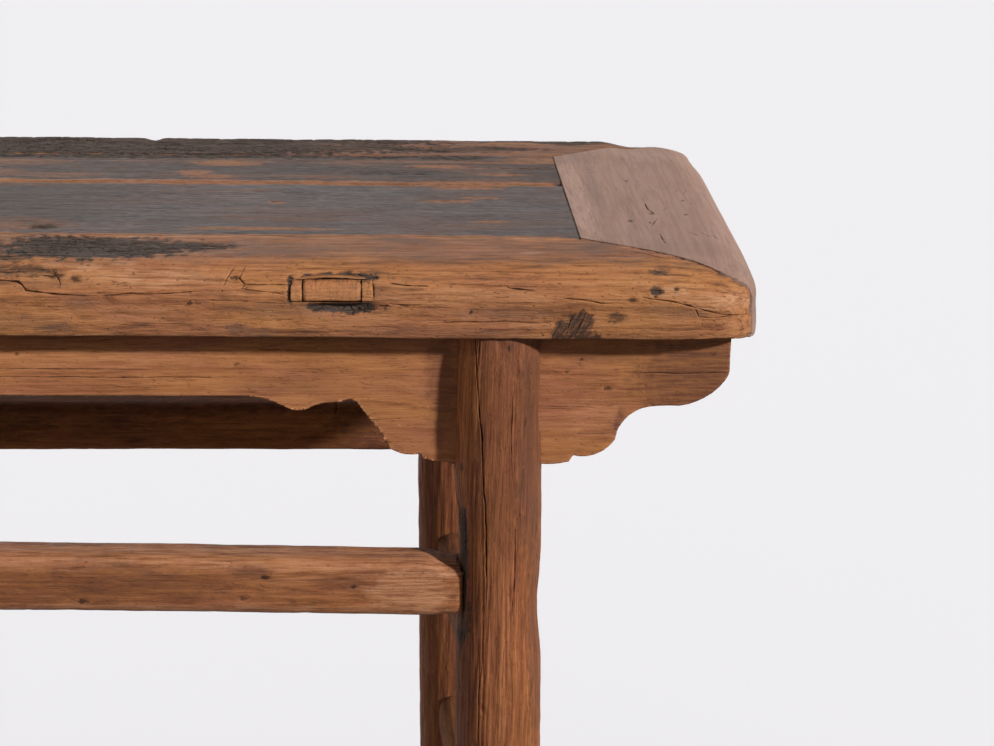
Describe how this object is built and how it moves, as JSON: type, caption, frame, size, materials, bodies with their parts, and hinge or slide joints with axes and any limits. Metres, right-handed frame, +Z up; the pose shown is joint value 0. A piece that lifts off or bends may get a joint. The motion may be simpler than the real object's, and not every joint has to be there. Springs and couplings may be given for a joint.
{
  "type": "altar table",
  "caption": "Long narrow recessed-leg altar table with a mitred top frame, round splayed legs and scalloped aprons.",
  "frame": {"origin": "centre of the footprint, on the floor", "axes": "+X along the length, +Y towards the back, +Z up"},
  "size_m": [1.9, 0.4274, 0.86],
  "materials": {
    "rail_wood": "old softwood, bare and worn, warm orange brown with dark weathered patches",
    "end_rail_wood": "old softwood, bare and rubbed pale, pinkish grey brown",
    "panel_wood": "weathered boards, grey with brown wear",
    "batten_wood": "bare wood, dusty brown",
    "wedge_wood": "bare wood, lighter end grain",
    "leg_wood": "bare worn wood, reddish brown with a strong straight grain",
    "apron_wood": "bare worn wood, orange brown",
    "stretcher_wood": "bare worn wood, rubbed lighter along the top"
  },
  "bodies": {
    "root": {"top_rail_front": "rail_wood", "top_rail_back": "rail_wood", "top_end_rail_left": "end_rail_wood", "top_end_rail_right": "end_rail_wood", "panel_board_front": "panel_wood", "panel_board_back": "panel_wood", "batten_left_outer": "batten_wood", "batten_left_inner": "batten_wood", "batten_right_inner": "batten_wood", "batten_right_outer": "batten_wood", "batten_wedges": "wedge_wood", "leg_front_left": "leg_wood", "leg_front_right": "leg_wood", "leg_back_left": "leg_wood", "leg_back_right": "leg_wood", "apron_front": "apron_wood", "long_stretcher_front": "stretcher_wood", "apron_back": "apron_wood", "long_stretcher_back": "stretcher_wood", "end_apron_left": "apron_wood", "side_stretcher_upper_left": "stretcher_wood", "side_stretcher_lower_left": "stretcher_wood", "end_apron_right": "apron_wood", "side_stretcher_upper_right": "stretcher_wood", "side_stretcher_lower_right": "stretcher_wood"}
  },
  "joints": []
}
